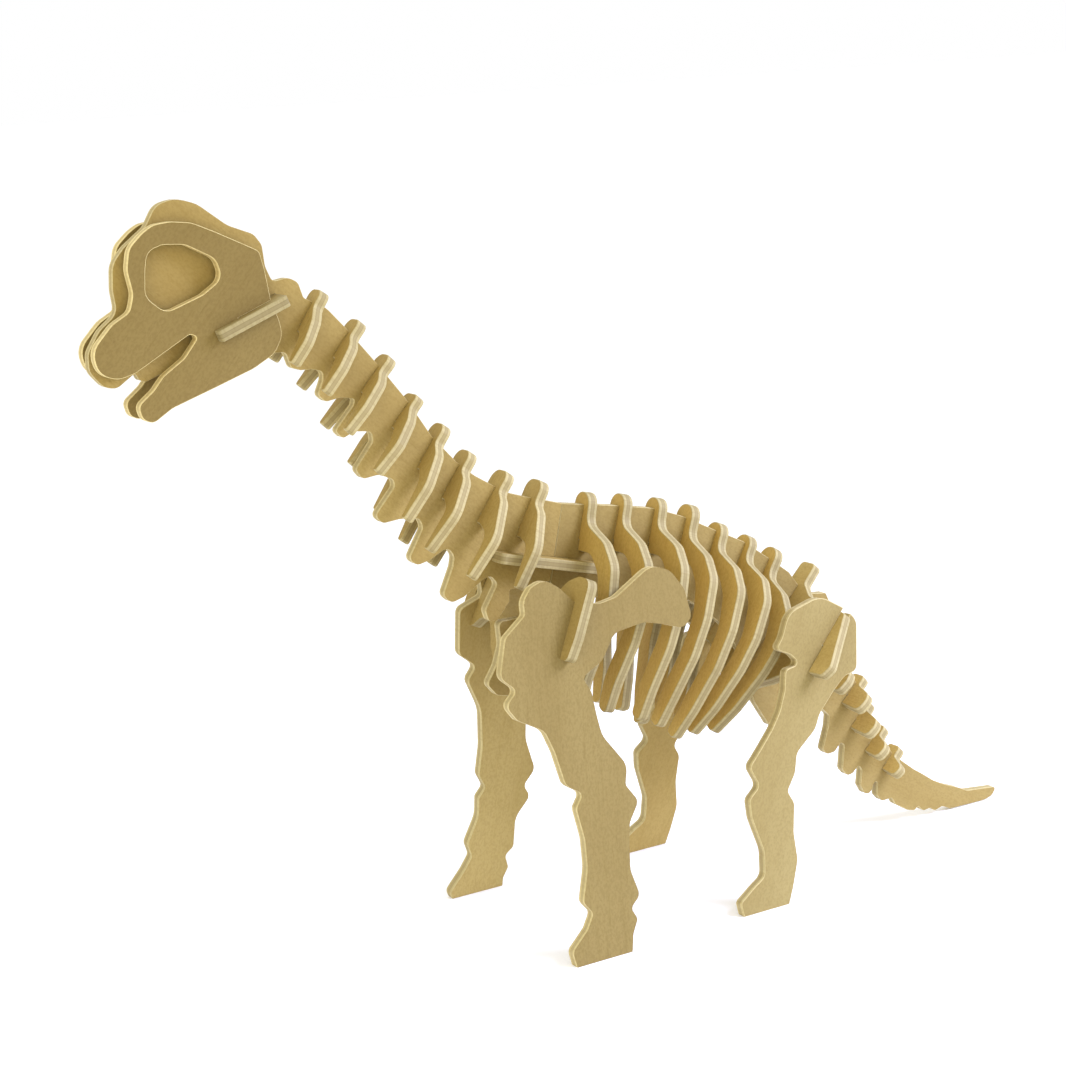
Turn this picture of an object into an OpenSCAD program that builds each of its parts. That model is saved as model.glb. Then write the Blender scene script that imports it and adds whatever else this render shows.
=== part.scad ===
// Standing long-necked dinosaur skeleton, built from flat plywood pieces
// that slot into one another. Head towards -X, tail towards +X, +Z up.
// The long centre plates stand in the plane y = 0, every rib, vertebra and
// cross plate crosses them in a half-lap slot, and the legs hang outside
// the rib cage on the shoulder plate and the hip plate.
// Origin: on the ground, midway along the length, in the centre plane.

/* [Plywood] */
// thickness of the sheet every piece is cut from
ply = 3; // [2.6:0.1:3.2]
// play on each side of a piece standing in a slot
slot_play = 0.05; // [0.03:0.01:0.08]

/* [Stance] */
// outward lean of the legs from the vertical, degrees
leg_splay = 5.5; // [4.5:0.5:6]
// half distance between the front feet, at the middle of the sheet
front_track = 33.5; // [33.5:0.5:35]
// half distance between the rear feet, at the middle of the sheet
rear_track = 32.5; // [32:0.5:34]

/* [Cage] */
// widest half width of the torso ribs
cage_half = 21.5; // [19.5:0.5:21.5]
// in-plane width of a torso rib arm
rib_arm = 5.6; // [4.5:0.2:6.4]
// in-plane width of a neck rib prong
prong_arm = 4.4; // [3.6:0.2:5]

/* [Skull] */
// clear gap between the centre plate and each skull side
skull_gap = 1.6; // [1.4:0.2:3]
// how far the skull bar stands out of each skull side
bar_proud = 3; // [2:0.5:4]

/* [Hidden] */

wood = [0.80, 0.70, 0.50];
slot_w = ply + 2 * slot_play;
// degrees of arc to one facet on a rounded corner, and how far short of
// straight a corner has to be before it is rounded
arc_step = 11;
straight_limit = 0.0008;
// clearance at the bottom of a half-lap slot
floor_play = 0.04;
// how far a cut runs past the edge it opens
over = 1;
// reach of the cutting boxes: sideways, above a back slot, above a tail slot,
// above the chest slot
far = 60;
clear_up = 30;
clear_tail = 15;
clear_chest = 7.5;

// ---- outline helpers: a corner is [a, b] or [a, b, radius] ----
function unit(v) = v / norm(v);
function turn(a) = a > 180 ? a - 360 : a < -180 ? a + 360 : a;
function arc_points(c, rad, a0, sweep, n) =
    [for (i = [0 : n]) c + rad * [cos(a0 + sweep * i / n), sin(a0 + sweep * i / n)]];
function corner(p, q, s, rad) =
    let (
        u = unit(p - q),
        w = unit(s - q),
        half = acos(max(-1, min(1, u * w))) / 2,
        reach = min(rad / tan(max(half, 0.5)), 0.48 * min(norm(p - q), norm(s - q))),
        r = reach * tan(half),
        start = q + u * reach,
        stop = q + w * reach,
        c = q + unit(u + w) * (r / sin(half)),
        a0 = atan2(start[1] - c[1], start[0] - c[0]),
        a1 = atan2(stop[1] - c[1], stop[0] - c[0]),
        sweep = turn(a1 - a0)
    )
    arc_points(c, r, a0, sweep, max(1, ceil(abs(sweep) / arc_step)));
function xy(p) = [p[0], p[1]];
function radius_of(p, rad) = len(p) > 2 ? p[2] : rad;
function straight(p, q, s) = abs(unit(p - q) * unit(s - q) + 1) < straight_limit;
function rounded(pts, rad) =
    let (n = len(pts))
    [for (i = [0 : n - 1])
        let (
            p = xy(pts[(i + n - 1) % n]),
            q = xy(pts[i]),
            s = xy(pts[(i + 1) % n]),
            r = radius_of(pts[i], rad)
        )
        each (r <= 0 || straight(p, q, s) ? [q] : corner(p, q, s, r))];
function mirror_y(pts) =
    [for (i = [len(pts) - 1 : -1 : 0])
        len(pts[i]) > 2 ? [-pts[i][0], pts[i][1], pts[i][2]] : [-pts[i][0], pts[i][1]]];

// ---- placing helpers ----
// plate standing along the length, outline in x and z, middle at y
module side_plate(y = 0) {
    translate([0, y, 0])
        rotate([90, 0, 0])
            linear_extrude(height = ply, center = true) children();
}

// plate standing across the length: front face through [x, z], leaning
// backwards at the top; outline in y and height above [x, z]
module cross_plate(at) {
    translate([at[0], 0, at[1]])
        rotate([0, at[2], 0])
            rotate([90, 0, 90])
                linear_extrude(height = ply) children();
}

// room a cross plate needs in another plate, between two heights in its plane
module cross_room(at, low, high) {
    translate([at[0], 0, at[1]])
        rotate([0, at[2], 0])
            translate([-slot_play, -far, low])
                cube([slot_w, 2 * far, high - low]);
}

// leg plate: outline in x and height, leaning outwards towards the foot
module leg_frame(side, track) {
    translate([0, side * track, 0])
        rotate([side * leg_splay, 0, 0]) children();
}

module leg_plate(side, track) {
    leg_frame(side, track)
        rotate([90, 0, 0])
            linear_extrude(height = ply, center = true) children();
}

module leg_room(side, track, low_z) {
    leg_frame(side, track)
        translate([-far * 2, -slot_w / 2, low_z])
            cube([far * 4, slot_w, far * 3]);
}

module above_ground() {
    intersection() {
        children();
        translate([-far * 2, -far, 0]) cube([far * 4, far * 2, far * 2]);
    }
}

// ---- stations: [x, z, lean] of the front face of each cross piece at the
// top edge of the centre plate, then the depth of its half-lap slot ----
neck_at = [
    [-81.9, 184.0, 36], [-72.2, 175.3, 42], [-64.7, 165.0, 45], [-56.7, 154.6, 44],
    [-50.2, 144.0, 38], [-43.0, 135.7, 38], [-32.2, 128.3, 38], [-21.5, 123.4, 30]
];
neck_slot = [7, 6.5, 6.5, 6.5, 7.5, 8, 9, 9];
torso_at = [
    [-4.8, 118.8, 14], [6.8, 116.8, 16], [18.5, 114.2, 16], [29.0, 109.6, 20],
    [39.2, 104.2, 24], [49.2, 99.2, 29], [57.5, 93.0, 33]
];
torso_slot = [10, 10, 10, 9.5, 9, 8.5, 8];
shoulder_at = [-23.8, 98.3, 24.5];
hip_at = [67.6, 83.4, 43];
tail_at = [
    [82.0, 56.8, 48], [87.8, 48.9, 50], [90.3, 40.4, 48], [95.1, 31.4, 49], [100.6, 23.4, 47]
];
tail_slot = [5.2, 4.6, 4.4, 4.0, 3.4];

// ---- centre plates ----
skull_core = [
    [-142.6, 177.4, 4], [-142.8, 172.8, 4], [-139.4, 168.6, 4], [-136.2, 168.0, 3],
    [-131.2, 171.3, 0.6], [-130.3, 169.4, 1], [-128.6, 168.8, 1], [-121.4, 171.4, 4],
    [-112.0, 175.2, 3], [-104.0, 171.0, 4], [-96.0, 172.0, 4]
];
throat = [
    [-90.6, 171.8, 1.5], [-89.4, 167.6, 1.5], [-86.9, 166.6, 1.5], [-84.0, 166.6, 2],
    [-80.6, 165.6, 1.6], [-80.9, 163.2, 1.5], [-82.6, 159.6, 1.4], [-80.6, 157.6, 1.4],
    [-76.4, 158.2, 2], [-72.2, 157.4, 1.4], [-72.8, 155.6, 1.5], [-78.6, 149.6, 1.2],
    [-76.6, 147.4, 1.2], [-73.2, 148.8, 2], [-68.2, 148.2, 1.6], [-68.0, 145.4, 2],
    [-73.8, 138.6, 1.6], [-71.8, 135.9, 1.6], [-67.2, 136.4, 3], [-63.0, 134.6, 1.8],
    [-62.6, 132.6, 2], [-69.2, 125.4, 1.8], [-67.0, 123.2, 1.8], [-62.0, 123.6, 3],
    [-56.2, 123.0, 2], [-55.2, 120.2, 2], [-60.2, 112.2, 2], [-57.8, 110.2, 2],
    [-54.2, 111.0, 3], [-48.4, 113.7, 2.4], [-46.5, 111.0, 2.4], [-47.2, 108.0, 3],
    [-50.8, 100.6, 1.8], [-48.4, 98.1, 2], [-44.4, 99.2, 3], [-38.2, 103.0, 2],
    [-35.8, 103.6, 1.2], [-33.8, 101.0, 1.6], [-38.2, 94.2, 2], [-37.2, 90.6, 1.2],
    [-34.4, 91.2, 1], [-30.6, 95.4, 1.5]
];
seam_foot = [-17.2, 98.6];
seam_top = [-11.9, 120.2];
nape = [
    [-22.9, 123.7, 6], [-29.2, 125.9, 6], [-38.7, 132.0, 8], [-43.6, 136.2, 8],
    [-50.7, 144.4, 8], [-57.4, 155.3, 8], [-65.1, 165.7, 8], [-73.5, 176.3, 8],
    [-78.4, 181.9, 6], [-84.4, 185.0, 1.5], [-85.6, 189.2, 2.5], [-88.2, 190.6, 3],
    [-92.6, 190.0, 1.5]
];
crest = [
    [-94.2, 194.0, 4], [-94.6, 199.6, 3], [-96.6, 202.4, 3], [-103.4, 205.2, 8],
    [-111.0, 211.2, 8], [-116.4, 213.0, 8], [-121.6, 211.8, 5], [-124.8, 206.6, 5],
    [-130.8, 202.2, 6], [-134.2, 198.4, 6], [-134.8, 192.0, 8], [-134.2, 186.4, 4],
    [-139.2, 182.6, 6]
];
neck_outline = concat(
    rounded(concat(
        skull_core, throat,
        [[-30.4, 98.8, 1], [seam_foot[0] - slot_play, seam_foot[1] + 0.4, 0],
         [seam_top[0] - slot_play, seam_top[1], 0]],
        nape, crest), 2)
);

chest = [
    [-25.6, 90.2, 0.6], [-34.4, 90.3, 1.6], [-34.0, 83.4, 6], [-36.0, 78.0, 6],
    [-39.2, 73.2, 1.6], [-36.4, 69.6, 2], [-30.0, 68.2, 6], [-24.0, 72.0, 8]
];
belly = [
    [-16.0, 84.0, 8], [-4.0, 92.0, 12], [12.0, 92.0, 14], [28.0, 86.0, 16],
    [40.0, 76.0, 14], [47.0, 64.0, 10], [49.6, 51.0, 6], [55.8, 40.6, 1.2],
    [59.4, 48.6, 4], [61.6, 55.0, 5], [66.0, 55.0, 5], [71.0, 47.0, 6]
];
tail_under = [
    [77.2, 40.8, 1.2], [76.7, 37.2, 4], [74.3, 30.4, 1.6], [75.9, 28.6, 1.6],
    [78.8, 28.8, 2], [81.2, 31.4, 1.2], [82.6, 30.2, 1.2], [81.5, 22.5, 1.6],
    [83.3, 20.1, 1.6], [85.4, 20.5, 1.6], [87.8, 22.7, 1.2], [89.0, 20.8, 1.4],
    [88.2, 15.8, 1.6], [89.9, 12.7, 1.6], [92.0, 12.7, 1.6], [93.6, 16.0, 1.1],
    [94.9, 15.6, 1.1], [94.5, 11.2, 1.4], [96.4, 9.0, 1.4], [98.9, 9.2, 2],
    [100.3, 9.2, 0.8], [101.6, 6.8, 1.2], [104.2, 5.2, 1.2], [106.2, 3.9, 1.2],
    [109.0, 3.1, 1], [110.5, 4.3, 0.7], [112.6, 2.2, 1], [115.3, 2.5, 0.8],
    [117.3, 1.2, 0.9], [120.2, 2.0, 0.8], [123.4, 0.5, 1.4], [131.0, 0.3, 8]
];
tail_tip = [
    [137.4, 0.2, 4], [140.8, 0.9, 2], [142.9, 3.6, 1.4], [139.8, 3.9, 2],
    [130.6, 4.9, 4], [126.8, 6.8, 2], [121.8, 8.8, 2], [116.8, 11.4, 2],
    [113.4, 13.9, 2], [109.4, 16.6, 2]
];
tail_back = [
    [105.4, 19.8, 3], [101.0, 23.6, 4], [95.2, 31.6, 5], [90.5, 40.6, 6],
    [87.9, 49.0, 6], [82.4, 57.2, 6], [77.8, 67.0, 5]
];
rump = [
    [78.8, 76.4, 1.2], [77.6, 79.2, 1.2], [74.6, 79.4, 1.5], [69.4, 80.6, 1.5]
];
back_line = [
    [64.4, 87.7, 2], [57.8, 92.8, 6], [49.0, 99.4, 8], [38.8, 104.6, 8],
    [27.4, 110.6, 8], [18.0, 114.3, 8], [5.4, 117.0, 8]
];
body_outline = rounded(concat(
    [[seam_top[0] + slot_play, seam_top[1], 0], [seam_foot[0] + slot_play, seam_foot[1], 0],
     [-18.4, 94.2, 1.5], [-19.8, 92.2, 1.2]],
    chest, belly, tail_under, tail_tip, tail_back, rump, back_line), 2);

// ---- spine joiner: flat plate lying across the seam ----
joiner_at = [-34.6, 110.6];
joiner_tilt = 14.7;
joiner_len = 32;
joiner_half = 7.4;
joiner_round = 1.5;

module joiner_frame() {
    translate([joiner_at[0], 0, joiner_at[1]])
        rotate([0, joiner_tilt, 0]) children();
}

module joiner_room(from, to) {
    joiner_frame()
        translate([from, -far, -ply - slot_play])
            cube([to - from, 2 * far, slot_w]);
}

front_lap = 9;
rear_lap = 24;

module neck_plate() {
    color(wood)
    difference() {
        side_plate() polygon(neck_outline);
        for (i = [0 : len(neck_at) - 1])
            cross_room(neck_at[i], -neck_slot[i], far);
        joiner_room(front_lap, joiner_len);
        skull_bar_room();
    }
}

module body_plate() {
    color(wood)
    difference() {
        side_plate() polygon(body_outline);
        for (i = [0 : len(torso_at) - 1])
            cross_room(torso_at[i], -torso_slot[i], clear_up);
        for (i = [0 : len(tail_at) - 1])
            cross_room(tail_at[i], -tail_slot[i], clear_tail);
        cross_room(hip_at, -hip_slot, clear_up);
        cross_room(shoulder_at, -shoulder_slot, clear_chest);
        joiner_room(0, rear_lap);
    }
}

module spine_joiner() {
    color(wood)
    joiner_frame()
        difference() {
            translate([0, 0, -ply])
                linear_extrude(height = ply)
                    polygon(rounded([
                        [0, -joiner_half], [joiner_len, -joiner_half],
                        [joiner_len, joiner_half], [0, joiner_half]], joiner_round));
            translate([-over, -slot_w / 2, -ply - over])
                cube([front_lap + over + floor_play, slot_w, ply + 2 * over]);
            translate([rear_lap - floor_play, -slot_w / 2, -ply - over])
                cube([joiner_len, slot_w, ply + 2 * over]);
        }
}

// ---- skull ----
skull_y = ply / 2 + skull_gap + ply / 2;
bar_tilt = 20.5;
bar_at = [-110.8, 178.4];
bar_len = 20.5;
bar_half = skull_y + ply / 2 + bar_proud;
bar_lap = 7.2;
bar_round = 0.8;

module bar_frame() {
    translate([bar_at[0], 0, bar_at[1]])
        rotate([0, -bar_tilt, 0]) children();
}

module skull_bar_room() {
    bar_frame()
        translate([-slot_play, -far, -ply / 2 - slot_play])
            cube([bar_len + 2 * slot_play, 2 * far, slot_w]);
}

module skull_bar() {
    color(wood)
    bar_frame()
        difference() {
            translate([0, 0, -ply / 2])
                linear_extrude(height = ply)
                    polygon(rounded([
                        [0, -bar_half], [bar_len, -bar_half],
                        [bar_len, bar_half], [0, bar_half]], bar_round));
            for (s = [-1, 1])
                translate([-over, s * skull_y - slot_w / 2, -ply])
                    cube([bar_lap + over + floor_play, slot_w, 2 * ply]);
        }
}

skull_side_outline = rounded([
    [-127.6, 205.4, 5], [-124.6, 207.3, 6], [-120.0, 207.7, 8], [-114.6, 207.0, 8],
    [-108.6, 204.2, 9], [-100.2, 199.9, 5], [-97.4, 198.4, 2], [-96.4, 194.0, 4],
    [-95.4, 186.0, 4], [-93.6, 180.6, 4], [-93.0, 176.8, 5], [-95.4, 172.4, 6],
    [-101.6, 169.2, 8], [-112.0, 165.8, 10], [-124.0, 162.0, 6], [-129.4, 158.8, 2.6],
    [-132.0, 160.2, 2.4], [-132.8, 163.6, 2.2], [-128.4, 167.0, 4], [-125.6, 170.2, 5],
    [-119.6, 174.0, 5], [-115.6, 178.8, 1.4], [-117.6, 179.8, 1.4], [-124.4, 176.2, 6],
    [-132.6, 171.8, 5], [-137.2, 170.6, 6], [-141.8, 172.4, 5], [-143.2, 178.2, 6],
    [-137.4, 184.2, 7], [-132.6, 186.8, 3], [-131.3, 191.0, 5], [-132.3, 197.0, 6],
    [-131.2, 202.2, 5]
], 3);
eye_outline = rounded([
    [-126.7, 201.0, 4], [-122.6, 202.3, 4], [-116.8, 201.8, 5], [-109.2, 197.6, 4],
    [-107.8, 192.6, 4], [-113.4, 189.0, 5], [-123.4, 185.6, 4], [-128.3, 190.0, 4],
    [-127.6, 196.6, 6]
], 3);

module skull_side(side) {
    color(wood)
    difference() {
        side_plate(side * skull_y)
            difference() {
                polygon(skull_side_outline);
                polygon(eye_outline);
            }
        bar_frame()
            translate([bar_lap, -far, -ply / 2 - slot_play])
                cube([bar_len, 2 * far, slot_w]);
    }
}

module skull_left() {
    skull_side(-1);
}

module skull_right() {
    skull_side(1);
}

// ---- ribs ----
// half outline, from the knob on top down the outside and back up the inside:
// k knob half width, h knob height, shoulder [y, v], waist [y, v], tip [y, v],
// arm width, arch height of the inside
tip_share = 0.45;
arch_half = slot_w / 2 + 1.6;
function rib_half(k, h, sh, wa, tip, arm, arch) = [
    [k, h, k * 0.98], [k, -1.2, 2.5], sh, wa, tip,
    [tip[0] - arm * tip_share, tip[1], 0.8],
    [wa[0] - arm, wa[1], 6], [arch_half, arch, 1.2]
];

module rib_blank(half, lap) {
    difference() {
        polygon(rounded(concat(half, mirror_y(half)), 1));
        translate([-slot_w / 2, -far])
            square([slot_w, far - lap + floor_play]);
    }
}

neck_half = [
    rib_half(3.4, 3.4, [6.8, -5.0, 5], [9.0, -11.0, 6], [8.0, -17.4, 0.8], prong_arm, -9.0),
    rib_half(3.4, 3.6, [6.8, -4.0, 5], [9.0, -10.5, 6], [9.0, -18.2, 0.8], prong_arm, -8.5),
    rib_half(3.5, 4.0, [6.8, -4.0, 5], [8.8, -12.0, 8], [8.4, -20.0, 0.8], prong_arm, -8.5),
    rib_half(3.6, 2.6, [7.2, -5.0, 5], [10.2, -12.5, 7], [9.0, -21.4, 0.8], prong_arm, -8.5),
    rib_half(3.6, 4.5, [7.2, -4.0, 5], [10.8, -13.0, 8], [9.6, -23.6, 0.8], prong_arm, -9.5),
    rib_half(3.8, 4.5, [7.6, -3.6, 5], [11.8, -13.0, 8], [8.8, -25.0, 0.8], prong_arm, -10.5),
    rib_half(4.0, 4.8, [7.6, -3.6, 5], [14.2, -14.0, 8], [12.6, -26.4, 0.8], prong_arm, -11.5),
    rib_half(4.2, 5.3, [7.6, -3.4, 5], [13.2, -13.0, 8], [12.2, -25.0, 0.8], prong_arm, -11.5)
];

module neck_rib(i) {
    color(wood)
    cross_plate(neck_at[i])
        rib_blank(neck_half[i], neck_slot[i]);
}

function torso_half(k, h, top_w, reach, tip, arch) = [
    [k, h, k * 0.98], [k + 0.4, -5.0, 4], [top_w, -8.8, 6], [cage_half - 1.5, -14.5, 7],
    [cage_half, -26, 14], [cage_half - 1.6, reach * 0.62, 16],
    [cage_half - 6.4, reach * 0.84, 12], [tip, reach, 1.6],
    [tip - rib_arm * 0.7, reach + 1.6, 1.6],
    [cage_half - 6.4 - rib_arm, reach * 0.82, 12],
    [cage_half - 1.6 - rib_arm, reach * 0.60, 14], [cage_half - rib_arm, -26, 12],
    [cage_half - 2.5 - rib_arm, -17.5, 6], [8.6, arch, 5]
];

torso_shape = [
    torso_half(3.6, 3.5, 14.2, -56, 14.0, -13.0),
    torso_half(3.6, 3.3, 14.0, -58, 13.0, -13.0),
    torso_half(3.6, 3.0, 14.8, -60, 12.4, -13.0),
    torso_half(3.9, 4.1, 14.4, -60, 11.4, -12.5),
    torso_half(3.7, 2.6, 14.6, -61, 10.4, -12.0),
    torso_half(3.7, 2.4, 15.2, -58, 9.6, -11.5),
    torso_half(3.7, 3.7, 13.6, -54, 9.8, -11.0)
];

module torso_rib(i) {
    color(wood)
    cross_plate(torso_at[i])
        rib_blank(torso_shape[i], torso_slot[i]);
}

// ---- shoulder and hip plates ----
shoulder_slot = 16;
shoulder_half = [
    [0, -0.6, 0], [14, -0.6, 5], [19.5, 5.0, 4], [24.0, 7.0, 3], [29.4, 7.0, 2.8],
    [30.8, -9.0, 2], [30.4, -15.6, 1.6], [22.5, -15.8, 3], [19.5, -12.6, 4],
    [14, -12.0, 6], [9.0, -19.5, 4], [4.4, -23.5, 2]
];
front_leg_lap = -4.4;

module shoulder_plate() {
    color(wood)
    difference() {
        cross_plate(shoulder_at)
            difference() {
                polygon(rounded(concat(shoulder_half, mirror_y(shoulder_half)), 1));
                translate([-slot_w / 2, -far])
                    square([slot_w, far - shoulder_slot + floor_play]);
            }
        for (s = [-1, 1])
            intersection() {
                leg_room(s, front_track, 0);
                cross_room(shoulder_at, -far, front_leg_lap);
            }
    }
}

hip_slot = 8;
rear_leg_lap = -16;
hip_half = [
    [0, 7.8, 0], [3.2, 7.8, 3.1], [3.6, 1.0, 2], [9, -2.6, 5], [18, -3.4, 8],
    [25.0, -4.4, 3], [27.8, -4.8, 1.2], [35.2, -21.4, 2.2], [33.8, -24.8, 1.6],
    [22, -25.4, 6], [14, -31.0, 8], [6, -35.0, 5]
];

module hip_plate() {
    color(wood)
    difference() {
        cross_plate(hip_at)
            difference() {
                polygon(rounded(concat(hip_half, mirror_y(hip_half)), 1));
                translate([-slot_w / 2, -far])
                    square([slot_w, far - hip_slot + floor_play]);
            }
        for (s = [-1, 1])
            intersection() {
                leg_room(s, rear_track, 0);
                cross_room(hip_at, -far, rear_leg_lap);
            }
    }
}

// ---- legs ----
// the outlines run a little below the ground and are trimmed level with it
sole_cut = -2;
front_left_outline = rounded([
    [-39.2, 97.6, 1.5], [-39.2, 101.4, 4], [-36.6, 104.6, 3], [-32.2, 106.2, 4],
    [-28.0, 103.2, 6], [-24.0, 98.8, 2], [-16.4, 96.8, 4], [-10.8, 97.6, 6],
    [-4.4, 101.2, 7], [1.6, 104.6, 6], [7.4, 102.0, 6], [11.2, 96.4, 6],
    [12.8, 88.0, 3], [9.4, 85.6, 3], [3.9, 87.6, 6], [-2.8, 89.5, 8],
    [-12.6, 88.2, 4], [-17.2, 81.4, 6], [-24.0, 78.0, 1.4], [-21.6, 73.6, 5],
    [-20.8, 66.8, 8], [-19.8, 61.2, 8], [-13.0, 51.6, 5], [-14.2, 46.2, 2],
    [-10.6, 41.0, 2.4], [-14.2, 35.6, 5], [-15.0, 29.6, 8], [-15.6, 22.6, 6],
    [-13.4, 15.0, 2.4], [-16.7, 12.0, 1.6], [-14.9, 8.6, 1.6], [-16.8, 4.8, 2],
    [-18.0, sole_cut, 0], [-35.0, sole_cut, 0], [-36.2, 4.4, 2.2], [-30.8, 9.4, 3],
    [-28.5, 13.4, 1.6], [-31.2, 17.0, 2], [-28.8, 26.0, 10], [-28.6, 34.0, 10],
    [-30.2, 43.0, 2.2], [-27.6, 46.6, 1.6], [-32.6, 50.0, 3], [-34.8, 59.6, 10],
    [-37.2, 66.0, 5], [-45.0, 70.4, 3], [-47.8, 74.6, 2], [-44.0, 78.3, 1.6],
    [-48.6, 82.4, 3], [-45.8, 92.6, 2.6]
], 2);
front_right_outline = rounded([
    [-25.9, 92.4, 1.5], [-26.6, 97.0, 3], [-25.6, 103.4, 3], [-21.0, 105.4, 3],
    [-18.6, 99.0, 3], [-13.4, 96.8, 4], [-8.0, 97.6, 6],
    [-1.6, 101.2, 7], [4.4, 104.6, 6], [10.2, 102.0, 6], [14.0, 96.4, 6],
    [15.6, 88.0, 3], [12.2, 85.6, 3], [6.7, 87.6, 6], [0.0, 89.5, 8],
    [-8.0, 87.0, 4], [-11.0, 79.0, 8], [-12.0, 68.0, 8], [-12.2, 51.2, 10],
    [-12.4, 45.4, 8], [-9.4, 35.2, 3], [-13.4, 30.8, 2], [-11.2, 27.0, 2.4],
    [-16.4, 21.2, 6], [-17.3, 12.0, 2], [-20.2, 9.8, 1.6], [-19.2, 5.8, 1.6],
    [-21.0, 2.8, 2], [-21.6, sole_cut, 0], [-37.4, sole_cut, 0], [-39.2, 2.2, 2],
    [-34.2, 8.2, 3], [-31.5, 12.2, 1.8], [-32.9, 16.4, 2.4], [-29.0, 24.4, 8],
    [-28.8, 30.2, 1.6], [-26.4, 33.1, 1.6], [-28.5, 37.4, 3], [-27.2, 46.0, 12],
    [-27.2, 57.7, 12], [-31.4, 67.5, 2.4], [-28.5, 71.4, 1.8], [-34.0, 76.0, 3],
    [-33.4, 89.6, 2.4]
], 2);
rear_outline = rounded([
    [57.4, 86.2, 8], [46.0, 83.2, 6], [42.9, 76.4, 8], [40.4, 73.6, 1.2],
    [45.4, 71.2, 3], [48.0, 68.0, 1.4], [43.0, 67.2, 1.6], [42.0, 61.4, 6],
    [39.6, 55.7, 8], [36.4, 51.2, 8], [31.7, 46.2, 8], [27.4, 41.9, 2.2],
    [30.2, 36.0, 2], [26.2, 32.8, 2.2], [26.4, 27.4, 6], [29.4, 17.2, 6],
    [28.8, 9.8, 3], [24.4, 7.2, 4], [19.8, 4.0, 1.6], [20.8, sole_cut, 0],
    [35.6, sole_cut, 0], [38.4, 4.8, 4], [40.8, 12.0, 6], [40.3, 20.4, 8],
    [41.6, 28.6, 3], [39.6, 32.4, 1.8], [42.9, 37.2, 4], [44.2, 42.8, 4],
    [51.3, 48.2, 5], [53.4, 52.4, 5], [58.8, 57.8, 6], [63.4, 61.6, 5],
    [68.0, 62.4, 2.4], [69.6, 76.8, 4], [66.6, 80.6, 3]
], 2);

module front_leg(side, outline) {
    color(wood)
    above_ground()
        difference() {
            leg_plate(side, front_track) polygon(outline);
            cross_room(shoulder_at, front_leg_lap - floor_play, clear_up);
        }
}

module rear_leg(side) {
    color(wood)
    above_ground()
        difference() {
            leg_plate(side, rear_track) polygon(rear_outline);
            cross_room(hip_at, rear_leg_lap - floor_play, clear_up);
        }
}

module front_leg_left() {
    front_leg(-1, front_left_outline);
}

module front_leg_right() {
    front_leg(1, front_right_outline);
}

module rear_leg_left() {
    rear_leg(-1);
}

module rear_leg_right() {
    rear_leg(1);
}

// ---- tail vertebrae ----
// half outline: w half width over the wings, h knob height, drop wing height
function vertebra_half(w, h, drop) = [
    [0, h, 0], [2.6, h, 2.2], [3.0, -0.2, 1.2], [w - 1.2, -2.0, 2.2],
    [w, -drop * 0.5, 4], [w - 0.6, -drop, 1.8], [slot_w / 2 + 0.6, -drop + 0.6, 0]
];

tail_half = [
    vertebra_half(9.6, 3.6, 9.4), vertebra_half(10.4, 3.2, 8.4),
    vertebra_half(10.8, 2.8, 8.0), vertebra_half(8.6, 3.2, 7.4),
    vertebra_half(8.4, 3.4, 6.2)
];

module tail_vertebra(i) {
    color(wood)
    cross_plate(tail_at[i])
        rib_blank(tail_half[i], tail_slot[i]);
}

neck_plate();
body_plate();
spine_joiner();
skull_bar();
skull_left();
skull_right();
neck_rib(0);  // neck_rib_1
neck_rib(1);  // neck_rib_2
neck_rib(2);  // neck_rib_3
neck_rib(3);  // neck_rib_4
neck_rib(4);  // neck_rib_5
neck_rib(5);  // neck_rib_6
neck_rib(6);  // neck_rib_7
neck_rib(7);  // neck_rib_8
torso_rib(0);  // torso_rib_1
torso_rib(1);  // torso_rib_2
torso_rib(2);  // torso_rib_3
torso_rib(3);  // torso_rib_4
torso_rib(4);  // torso_rib_5
torso_rib(5);  // torso_rib_6
torso_rib(6);  // torso_rib_7
shoulder_plate();
hip_plate();
front_leg_left();
front_leg_right();
rear_leg_left();
rear_leg_right();
tail_vertebra(0);  // tail_vertebra_1
tail_vertebra(1);  // tail_vertebra_2
tail_vertebra(2);  // tail_vertebra_3
tail_vertebra(3);  // tail_vertebra_4
tail_vertebra(4);  // tail_vertebra_5
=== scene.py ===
"""Slot-together plywood dinosaur skeleton: materials, rounding, floor, light and camera.

Every piece of the model is a flat plate of three-ply sheet. Each plate's plane, middle and
grain direction are worked out from its own mesh, and a material is made from them: sanded
veneer on the two faces, pale end grain with a darker core ply on the cut edges.
"""

import math

import bpy
import numpy as np
from mathutils import Matrix, Vector

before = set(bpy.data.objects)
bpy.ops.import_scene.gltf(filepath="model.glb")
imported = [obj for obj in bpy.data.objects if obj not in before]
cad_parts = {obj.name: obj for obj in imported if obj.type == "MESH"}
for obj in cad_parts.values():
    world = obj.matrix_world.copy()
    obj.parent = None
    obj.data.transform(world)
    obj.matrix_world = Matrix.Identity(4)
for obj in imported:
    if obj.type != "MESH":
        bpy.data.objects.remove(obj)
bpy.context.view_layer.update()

MM = 0.001

# camera, in the object's own frame: metres, degrees, and millimetres for lens and sensor
CAMERA_AT = (-0.3116, -0.5214, 0.2373)
CAMERA_AZIMUTH = -29.14
CAMERA_ELEVATION = 11.76
CAMERA_ROLL = -3.73
CAMERA_LENS = 74.3
CAMERA_NEAR = 0.01
SENSOR = 36.0

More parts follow.
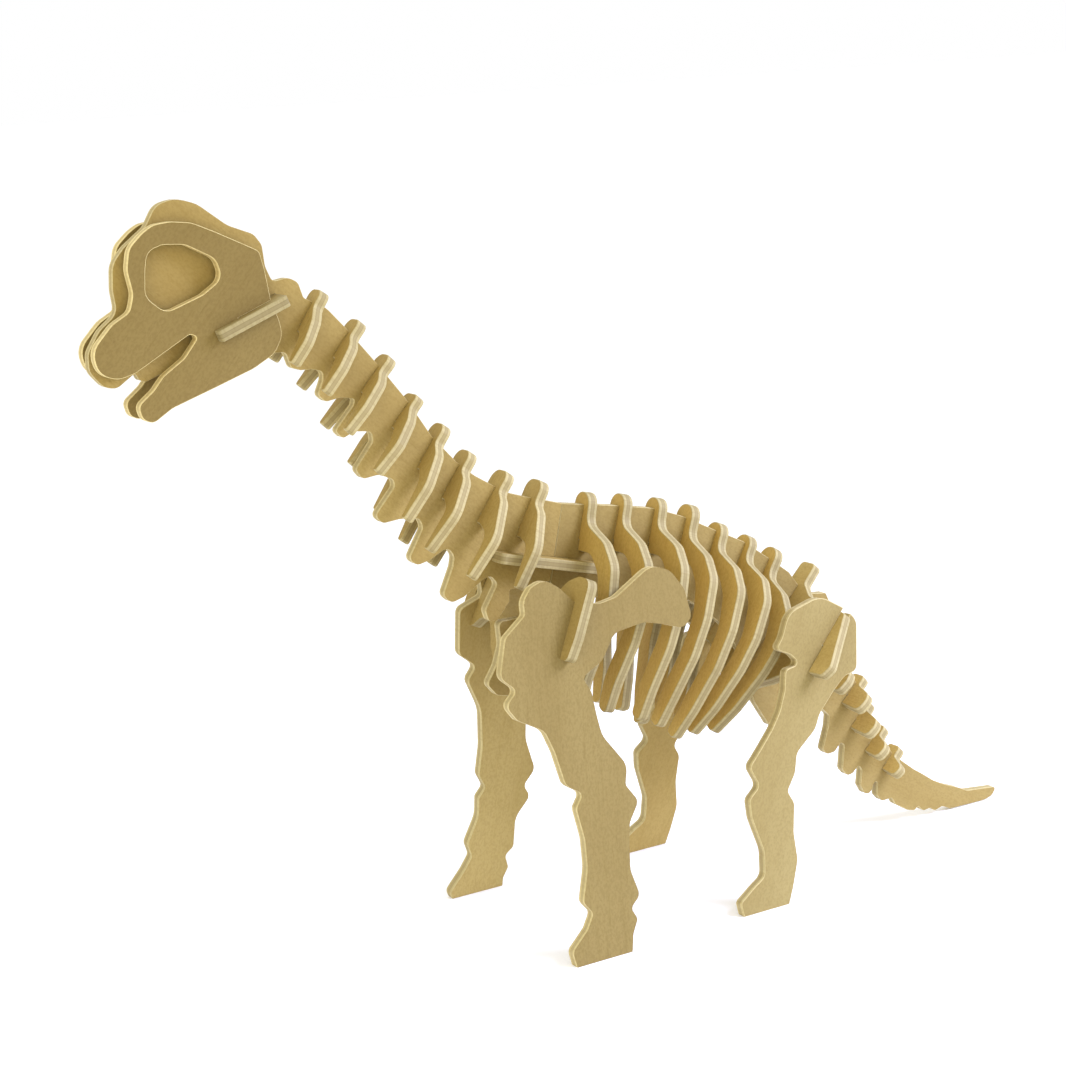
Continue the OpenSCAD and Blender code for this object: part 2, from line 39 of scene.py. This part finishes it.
# area lights: place, aim, size, power, colour, and width of the beam in degrees
MIDDLE = (0.0, 0.0, 0.1)
HIP = (0.09, -0.03, 0.07)
LIGHTS = {
    "key": ((0.34, -0.30, 0.38), HIP, 0.30, 0.75, (0.93, 1.0, 1.62), 80.0),
    "fill": ((-0.55, -0.45, 0.32), MIDDLE, 0.5, 1.1, (1.0, 0.88, 0.62), 180.0),
    "top": ((-0.1, 0.15, 1.3), MIDDLE, 0.9, 2.0, (1.0, 0.99, 0.97), 180.0),
}
WHITE = (1.0, 1.0, 1.0, 1.0)
SKY_STRENGTH = 1.0

# floor: a little glow of its own hides the line where it meets the background
FLOOR_WIDTH = 60.0
FLOOR_DROP = 0.05 * MM
FLOOR_COLOUR = (0.90, 0.90, 0.90)
FLOOR_GLOW = 0.16

# veneer and edge colours, linear RGB
FACE_LIGHT = (0.350, 0.258, 0.083)
FACE_MID = (0.306, 0.219, 0.065)
FACE_DARK = (0.228, 0.152, 0.040)
FLECK = (0.165, 0.105, 0.028)
EDGE_PALE = (0.525, 0.436, 0.200)
EDGE_SHADE = (0.430, 0.340, 0.142)
CORE = (0.315, 0.244, 0.100)
GLUE = (0.230, 0.160, 0.065)
# the warm colour that pieces are tinted towards, as painted bounce light between wood parts
PAINTED_BOUNCE_AMBER = (1.04, 0.93, 0.66)

# painted light and shade, per piece: how much lighter or darker its veneer is painted, how
# far it is tinted towards the painted bounce amber, and how light its cut edges are painted.
# Pieces inside the body and the far legs are painted lighter and more amber as bounced light,
# the near front leg and the skull pieces darker as painted shade, the near legs less amber,
# and the skull's edges lighter as a painted highlight; a piece takes the first row that its
# name starts with
PAINTED_LIGHT_TONE = {
    "skull_bar": (0.80, 0.0, 0.72),
    "skull": (0.71, 0.25, 1.45),
    "neck_plate": (1.14, 0.12, 1.10),
    "spine_joiner": (1.20, 0.10, 0.90),
    "body_plate": (0.97, 0.04, 1.0),
    "neck_rib": (1.20, 0.20, 0.88),
    "torso_rib": (1.44, 0.60, 0.76),
    "shoulder_plate": (1.12, 0.10, 0.74),
    "hip_plate": (1.34, 0.05, 0.80),
    "front_leg_left": (0.79, -0.08, 1.15),
    "front_leg_right": (1.20, -0.25, 1.0),
    "rear_leg_left": (0.97, -0.55, 1.0),
    "rear_leg_right": (1.20, 0.10, 1.0),
    "tail_vertebra": (1.45, 0.30, 0.84),
}

# noise cells per metre: along the grain, across it, and through the sheet
BROAD_CELLS = (9, 46, 46)
GRAIN_CELLS = (70, 1150, 400)
SPECKLE_CELLS = (1250, 1700, 900)
FLECK_CELLS = (420, 2600, 900)
WAVER_CELLS = (260, 260, 60)
SAW_CELLS = (1500, 1500, 240)
PATCH_CELLS = (60, 60, 30)

# plies on the cut edge, measured from the sheet's middle plane
CORE_HALF = 0.46 * MM
CORE_SOFT = 0.14 * MM
CORE_WAVER = 0.12 * MM
GLUE_OUT = 0.10 * MM
GLUE_HALF = 0.07 * MM

# surface
GLOSS = 0.18
BUMP_STRENGTH = 0.22
BUMP_DEPTH = 0.12 * MM

# rounding of the cut edges; edges gentler than ROUND_FROM belong to the outline's curves
EDGE_ROUND = 0.30 * MM
ROUND_STEPS = 2
ROUND_FROM = 40
JOIN_WITHIN = 0.001 * MM
FLAT_WITHIN = 0.5


def plate_of(obj):
    """The plate's unit normal, the distance of its middle plane, and its long direction."""
    mesh = obj.data
    count = len(mesh.polygons)
    normals = np.empty(count * 3)
    areas = np.empty(count)
    mesh.polygons.foreach_get("normal", normals)
    mesh.polygons.foreach_get("area", areas)
    normals = normals.reshape(-1, 3)
    widest = normals[np.argmax(areas)]
    same = np.abs(normals @ widest) > 0.999
    signs = np.sign(normals[same] @ widest)
    normal = (normals[same] * (areas[same] * signs)[:, None]).sum(axis=0)
    normal /= np.linalg.norm(normal)
    points = np.empty(len(mesh.vertices) * 3)
    mesh.vertices.foreach_get("co", points)
    points = points.reshape(-1, 3)
    depth = points @ normal
    middle = (depth.min() + depth.max()) / 2
    flat = points - points.mean(axis=0)
    flat -= np.outer(flat @ normal, normal)
    spread, axes = np.linalg.eigh(flat.T @ flat)
    return Vector(normal), float(middle), Vector(axes[:, np.argmax(spread)])


class Nodes:
    """Short names for building a shader tree."""

    def __init__(self, name):
        self.material = bpy.data.materials.new(name)
        self.material.use_nodes = True
        self.tree = self.material.node_tree
        self.shader = self.tree.nodes["Principled BSDF"]

    def link(self, source, target):
        self.tree.links.new(source, target)

    def add(self, kind, **settings):
        made = self.tree.nodes.new(kind)
        for key, value in settings.items():
            setattr(made, key, value)
        return made

    def fill(self, socket, value):
        if hasattr(value, "is_output"):
            self.link(value, socket)
        else:
            socket.default_value = value

    def math(self, operation, a, b=0.0):
        made = self.add("ShaderNodeMath", operation=operation)
        self.fill(made.inputs[0], a)
        self.fill(made.inputs[1], b)
        return made.outputs[0]

    def ramp(self, value, low, high, start=0.0, end=1.0):
        """A smooth step from start, where value is low, to end, where it is high."""
        made = self.add("ShaderNodeMapRange", interpolation_type="SMOOTHSTEP")
        self.fill(made.inputs["Value"], value)
        made.inputs["From Min"].default_value = low
        made.inputs["From Max"].default_value = high
        made.inputs["To Min"].default_value = start
        made.inputs["To Max"].default_value = end
        return made.outputs[0]

    def mix(self, share, a, b):
        made = self.add("ShaderNodeMix", data_type="RGBA")
        self.fill(made.inputs[0], share)
        self.fill(made.inputs[6], a if hasattr(a, "is_output") else (*a, 1.0))
        self.fill(made.inputs[7], b if hasattr(b, "is_output") else (*b, 1.0))
        return made.outputs[2]

    def multiply(self, colour, tint):
        made = self.add("ShaderNodeMix", data_type="RGBA", blend_type="MULTIPLY")
        made.inputs[0].default_value = 1.0
        self.link(colour, made.inputs[6])
        made.inputs[7].default_value = (*tint, 1.0)
        return made.outputs[2]

    def noise(self, place, cells, detail, distortion=0.0):
        """Noise with the given number of cells per metre in each direction."""
        stretch = self.add("ShaderNodeVectorMath", operation="MULTIPLY")
        self.link(place, stretch.inputs[0])
        stretch.inputs[1].default_value = cells
        made = self.add("ShaderNodeTexNoise")
        self.link(stretch.outputs[0], made.inputs["Vector"])
        made.inputs["Scale"].default_value = 1.0
        made.inputs["Detail"].default_value = detail
        made.inputs["Roughness"].default_value = 0.55
        made.inputs["Distortion"].default_value = distortion
        return made.outputs["Fac"]


def sheet_space(nodes, normal, middle, grain, shift):
    """Coordinates in the sheet: X along the grain, Y across it, Z through the thickness."""
    across = normal.cross(grain)
    turn = Matrix((grain, across, normal))
    where = nodes.add("ShaderNodeTexCoord")
    mapping = nodes.add("ShaderNodeMapping", vector_type="POINT")
    nodes.link(where.outputs["Object"], mapping.inputs["Vector"])
    mapping.inputs["Rotation"].default_value = turn.to_euler("XYZ")
    mapping.inputs["Location"].default_value = (shift, shift * 0.37, -middle)
    return mapping.outputs[0]


def face_share(nodes, normal):
    """1 on the two sanded faces, 0 on the cut edges and on their rounding."""
    geometry = nodes.add("ShaderNodeNewGeometry")
    dot = nodes.add("ShaderNodeVectorMath", operation="DOT_PRODUCT")
    nodes.link(geometry.outputs["Normal"], dot.inputs[0])
    dot.inputs[1].default_value = normal
    return nodes.ramp(nodes.math("ABSOLUTE", dot.outputs["Value"]), 0.96, 0.9995)


def veneer(nodes, place):
    """Sanded face veneer: broad tone, long grain, fine speckle and short flecks."""
    broad = nodes.noise(place, BROAD_CELLS, detail=2.0)
    grain = nodes.noise(place, GRAIN_CELLS, detail=4.0, distortion=0.35)
    speckle = nodes.noise(place, SPECKLE_CELLS, detail=1.0)
    fleck = nodes.noise(place, FLECK_CELLS, detail=2.0)
    tone = nodes.mix(nodes.ramp(broad, 0.30, 0.70), FACE_MID, FACE_LIGHT)
    tone = nodes.mix(nodes.ramp(grain, 0.50, 0.86, 0.0, 0.40), tone, FACE_DARK)
    tone = nodes.mix(nodes.ramp(speckle, 0.36, 0.70, 0.0, 0.34), tone, FACE_DARK)
    return nodes.mix(nodes.ramp(fleck, 0.62, 0.80, 0.0, 0.34), tone, FLECK), grain, fleck


def cut_edge(nodes, place):
    """Cut edge: two pale outer plies, a darker core ply and the thin glue lines beside it."""
    through = nodes.add("ShaderNodeSeparateXYZ")
    nodes.link(place, through.inputs[0])
    waver = nodes.noise(place, WAVER_CELLS, detail=1.0)
    depth = nodes.math("ABSOLUTE", through.outputs["Z"])
    depth = nodes.math("ADD", depth, nodes.math("MULTIPLY", waver, CORE_WAVER))
    core = nodes.ramp(depth, CORE_HALF, CORE_HALF + CORE_SOFT, 1.0, 0.0)
    off_glue = nodes.math("ABSOLUTE", nodes.math("SUBTRACT", depth, CORE_HALF + GLUE_OUT))
    glue = nodes.ramp(off_glue, GLUE_HALF, GLUE_HALF * 2.4, 0.45, 0.0)
    saw = nodes.noise(place, SAW_CELLS, detail=3.0)
    patch = nodes.noise(place, PATCH_CELLS, detail=2.0)
    pale = nodes.mix(nodes.ramp(saw, 0.40, 0.74, 0.0, 0.8), EDGE_PALE, EDGE_SHADE)
    pale = nodes.mix(nodes.ramp(patch, 0.46, 0.72, 0.0, 0.35), pale, CORE)
    pale = nodes.mix(nodes.math("MULTIPLY", core, 0.62), pale, CORE)
    return nodes.mix(glue, pale, GLUE), saw


def painted_light_tints(name):
    """The two colours of painted light and shade that one piece's veneer and its cut edges
    are multiplied by.
    """
    light, amber, edge = next(
        tone for start, tone in PAINTED_LIGHT_TONE.items() if name.startswith(start)
    )
    veneer_tint = tuple(light * (1.0 + amber * (part - 1.0)) for part in PAINTED_BOUNCE_AMBER)
    return veneer_tint, (edge, edge, edge)


def plywood(name, obj, number):
    """The plate's material: veneer on its faces and plies on its cut edges."""
    normal, middle, grain_way = plate_of(obj)
    nodes = Nodes(f"plywood_{name}")
    shader = nodes.shader.inputs
    place = sheet_space(nodes, normal, middle, grain_way, 0.173 * number)
    on_face = face_share(nodes, normal)
    face_colour, grain, fleck = veneer(nodes, place)
    edge_colour, saw = cut_edge(nodes, place)
    # painted light and shade for this piece, multiplied into its veneer and its cut edges
    face_tint, edge_tint = painted_light_tints(name)
    face_colour = nodes.multiply(face_colour, face_tint)
    edge_colour = nodes.multiply(edge_colour, edge_tint)
    nodes.link(nodes.mix(on_face, edge_colour, face_colour), shader["Base Color"])
    grain_height = nodes.math("MULTIPLY", grain, 0.6)
    fleck_height = nodes.math("MULTIPLY", fleck, 0.4)
    height = nodes.math("ADD", grain_height, fleck_height)
    rough_edge = nodes.math("MULTIPLY", saw, nodes.math("SUBTRACT", 1.0, on_face))
    bump = nodes.add("ShaderNodeBump")
    bump.inputs["Strength"].default_value = BUMP_STRENGTH
    bump.inputs["Distance"].default_value = BUMP_DEPTH
    nodes.link(nodes.math("ADD", height, rough_edge), bump.inputs["Height"])
    nodes.link(bump.outputs[0], shader["Normal"])
    nodes.link(nodes.ramp(grain, 0.30, 0.80, 0.56, 0.72), shader["Roughness"])
    shader["Specular IOR Level"].default_value = GLOSS
    return nodes.material


def round_edges(obj):
    """The small rounding that sanding leaves along every cut edge.

    The loaded mesh is triangles with their corners apart: they are joined and each flat face
    made whole first, so that the rounding runs along real edges only.
    """
    joined = obj.modifiers.new("joined", "WELD")
    joined.merge_threshold = JOIN_WITHIN
    whole = obj.modifiers.new("whole_faces", "DECIMATE")
    whole.decimate_type = "DISSOLVE"
    whole.angle_limit = math.radians(FLAT_WITHIN)
    bevel = obj.modifiers.new("sanded_edge", "BEVEL")
    bevel.width = EDGE_ROUND
    bevel.segments = ROUND_STEPS
    bevel.limit_method = "ANGLE"
    bevel.angle_limit = math.radians(ROUND_FROM)
    bevel.harden_normals = True


def finish_plates():
    for number, (name, obj) in enumerate(sorted(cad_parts.items())):
        material = plywood(name, obj, number)
        obj.data.materials.clear()
        obj.data.materials.append(material)
        round_edges(obj)


def floor_material():
    nodes = Nodes("floor_white")
    shader = nodes.shader.inputs
    place = nodes.add("ShaderNodeTexCoord").outputs["Object"]
    tint = nodes.noise(place, (3.0, 3.0, 3.0), detail=1.0)
    darker = tuple(0.985 * part for part in FLOOR_COLOUR)
    nodes.link(nodes.mix(tint, FLOOR_COLOUR, darker), shader["Base Color"])
    shader["Roughness"].default_value = 0.9
    shader["Specular IOR Level"].default_value = 0.1
    shader["Emission Color"].default_value = WHITE
    shader["Emission Strength"].default_value = FLOOR_GLOW
    return nodes.material


def make_floor():
    bpy.ops.mesh.primitive_plane_add(size=FLOOR_WIDTH, location=(0, 0, -FLOOR_DROP))
    floor = bpy.context.object
    floor.name = "floor"
    floor.data.materials.append(floor_material())


def area_light(name, at, aim, size, power, colour, spread):
    data = bpy.data.lights.new(name, "AREA")
    data.shape = "DISK"
    data.size = size
    data.energy = power
    data.color = colour
    data.spread = math.radians(spread)
    light = bpy.data.objects.new(name, data)
    light.location = at
    light.rotation_mode = "QUATERNION"
    light.rotation_quaternion = (Vector(aim) - Vector(at)).to_track_quat("-Z", "Y")
    bpy.context.scene.collection.objects.link(light)


def make_light():
    world = bpy.data.worlds.new("studio")
    bpy.context.scene.world = world
    world.use_nodes = True
    sky = world.node_tree.nodes["Background"]
    sky.inputs["Color"].default_value = WHITE
    sky.inputs["Strength"].default_value = SKY_STRENGTH
    for name, settings in LIGHTS.items():
        area_light(name, *settings)
    bpy.context.scene.view_settings.view_transform = "Standard"


def make_camera():
    az = math.radians(CAMERA_AZIMUTH)
    el = math.radians(CAMERA_ELEVATION)
    roll = math.radians(CAMERA_ROLL)
    back = Vector((math.sin(az) * math.cos(el), -math.cos(az) * math.cos(el), math.sin(el)))
    side = Vector((0, 0, 1)).cross(back).normalized()
    up = back.cross(side)
    right = math.cos(roll) * side + math.sin(roll) * up
    top = math.cos(roll) * up - math.sin(roll) * side
    data = bpy.data.cameras.new("camera")
    data.lens = CAMERA_LENS
    data.sensor_width = SENSOR
    data.clip_start = CAMERA_NEAR
    camera = bpy.data.objects.new("camera", data)
    turn = Matrix((right, top, back)).transposed()
    camera.matrix_world = Matrix.Translation(CAMERA_AT) @ turn.to_4x4()
    bpy.context.scene.collection.objects.link(camera)
    bpy.context.scene.camera = camera


make_camera()
make_floor()
make_light()
finish_plates()
